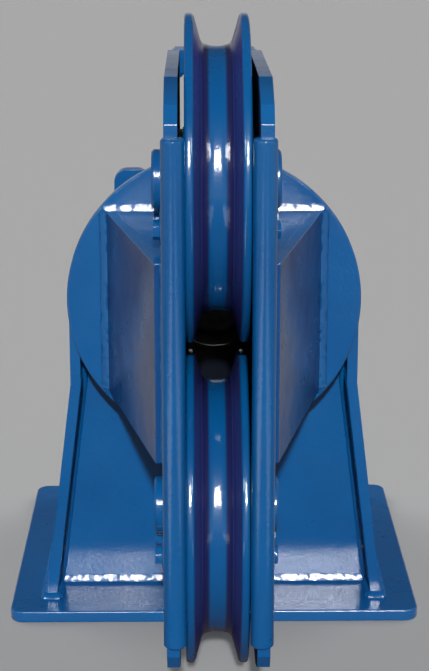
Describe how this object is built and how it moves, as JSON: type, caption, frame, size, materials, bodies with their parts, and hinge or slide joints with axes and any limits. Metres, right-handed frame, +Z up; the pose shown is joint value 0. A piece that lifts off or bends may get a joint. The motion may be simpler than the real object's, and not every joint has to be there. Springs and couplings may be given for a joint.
{
  "type": "pivoting fairlead",
  "caption": "Pivoting rope fairlead: a welded plate pedestal carries a hollow trunnion, and a turning head guides the rope between grooved sheaves.",
  "frame": {"origin": "centre of the base plate's underside", "axes": "+Z up along the pedestal, +Y to the rear along the pivot axis, the head with its sheaves towards -Y, +X to the right seen from the sheaves"},
  "size_m": [0.64, 1.06, 0.966],
  "materials": {
    "blue_enamel": "glossy royal blue enamel over welded steel plate",
    "bronze": "machined bearing bronze, lightly oiled",
    "zinc_plated_steel": "zinc plated steel fasteners"
  },
  "bodies": {
    "pedestal": {"base_plate": "blue_enamel", "side_plate_left": "blue_enamel", "side_plate_right": "blue_enamel", "front_plate": "blue_enamel", "rear_plate": "blue_enamel", "crown_plate": "blue_enamel", "lifting_eye": "blue_enamel", "bearing_housing": "blue_enamel", "front_bush": "bronze", "rear_bush": "bronze", "housing_fitting": "zinc_plated_steel"},
    "head": {"trunnion_tube": "blue_enamel", "retaining_ring": "blue_enamel", "retaining_screws": "zinc_plated_steel", "head_flange": "blue_enamel", "cheek_left": "blue_enamel", "cheek_right": "blue_enamel", "guard_bar_left": "blue_enamel", "guard_bar_right": "blue_enamel", "gusset_side_left": "blue_enamel", "gusset_side_right": "blue_enamel", "gusset_top_left": "blue_enamel", "gusset_top_right": "blue_enamel", "gusset_bottom_left": "blue_enamel", "gusset_bottom_right": "blue_enamel", "tie_bar_top": "blue_enamel", "tie_bar_bottom": "blue_enamel", "upper_axle": "blue_enamel", "lower_axle": "blue_enamel", "upper_washer_left": "bronze", "upper_washer_right": "bronze", "lower_washer_left": "bronze", "lower_washer_right": "bronze", "upper_keeper_left": "blue_enamel", "upper_keeper_right": "blue_enamel", "lower_keeper_left": "blue_enamel", "lower_keeper_right": "blue_enamel", "keeper_bolts": "blue_enamel", "upper_axle_fitting": "zinc_plated_steel", "lower_axle_fitting": "zinc_plated_steel"},
    "upper_wheel": {"upper_sheave": "blue_enamel", "upper_sheave_bush": "bronze"},
    "lower_wheel": {"lower_sheave": "blue_enamel", "lower_sheave_bush": "bronze"}
  },
  "joints": [
    {"name": "head_pivot", "type": "hinge", "parent": "pedestal", "child": "head", "pos_m": [0, 0, 0.513], "axis": [0, 1, 0], "continuous": true},
    {"name": "upper_sheave_spin", "type": "hinge", "parent": "head", "child": "upper_wheel", "pos_m": [0, -0.504, 0.746], "axis": [1, 0, 0], "continuous": true},
    {"name": "lower_sheave_spin", "type": "hinge", "parent": "head", "child": "lower_wheel", "pos_m": [0, -0.504, 0.28], "axis": [1, 0, 0], "continuous": true}
  ]
}
